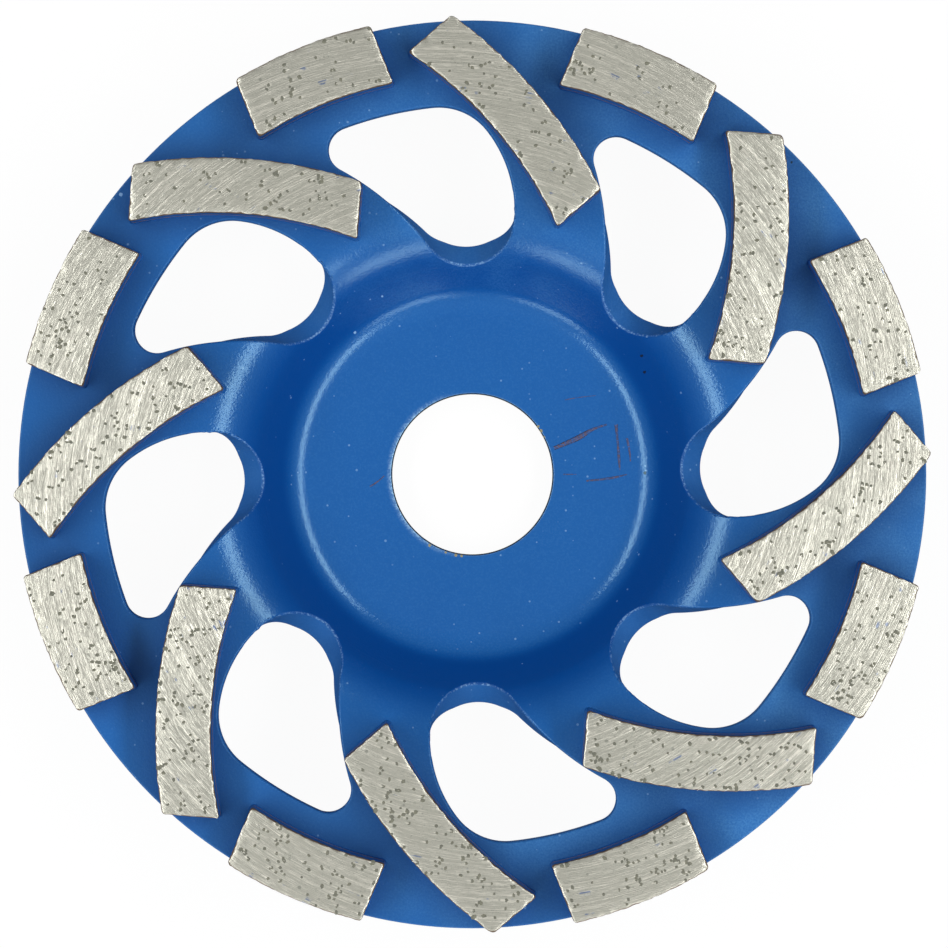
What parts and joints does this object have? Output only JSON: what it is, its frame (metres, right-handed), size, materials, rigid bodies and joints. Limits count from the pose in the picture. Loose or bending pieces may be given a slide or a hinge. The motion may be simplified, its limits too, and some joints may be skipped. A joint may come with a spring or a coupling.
{
  "type": "diamond cup grinding wheel",
  "caption": "Blue pressed-steel cup wheel with swept vent windows and brazed diamond segments, for grinding stone and concrete.",
  "frame": {"origin": "on the wheel's axis, in the plane of the hub's back face", "axes": "+Z along the wheel's axis, the way the segments face; +Y is the top of the reference picture and +X its right"},
  "size_m": [0.1244, 0.1244, 0.0212],
  "materials": {
    "blue_paint": "semi-gloss blue paint with a fine orange peel, rubbed at the bore",
    "sintered_metal": "sintered metal bond, ground flat, with grinding lines and dark diamond grit"
  },
  "bodies": {
    "root": {"cup_body": "blue_paint", "long_segment_1": "sintered_metal", "long_segment_2": "sintered_metal", "long_segment_3": "sintered_metal", "long_segment_4": "sintered_metal", "long_segment_5": "sintered_metal", "long_segment_6": "sintered_metal", "long_segment_7": "sintered_metal", "long_segment_8": "sintered_metal", "short_segment_1": "sintered_metal", "short_segment_2": "sintered_metal", "short_segment_3": "sintered_metal", "short_segment_4": "sintered_metal", "short_segment_5": "sintered_metal", "short_segment_6": "sintered_metal", "short_segment_7": "sintered_metal", "short_segment_8": "sintered_metal"}
  },
  "joints": []
}
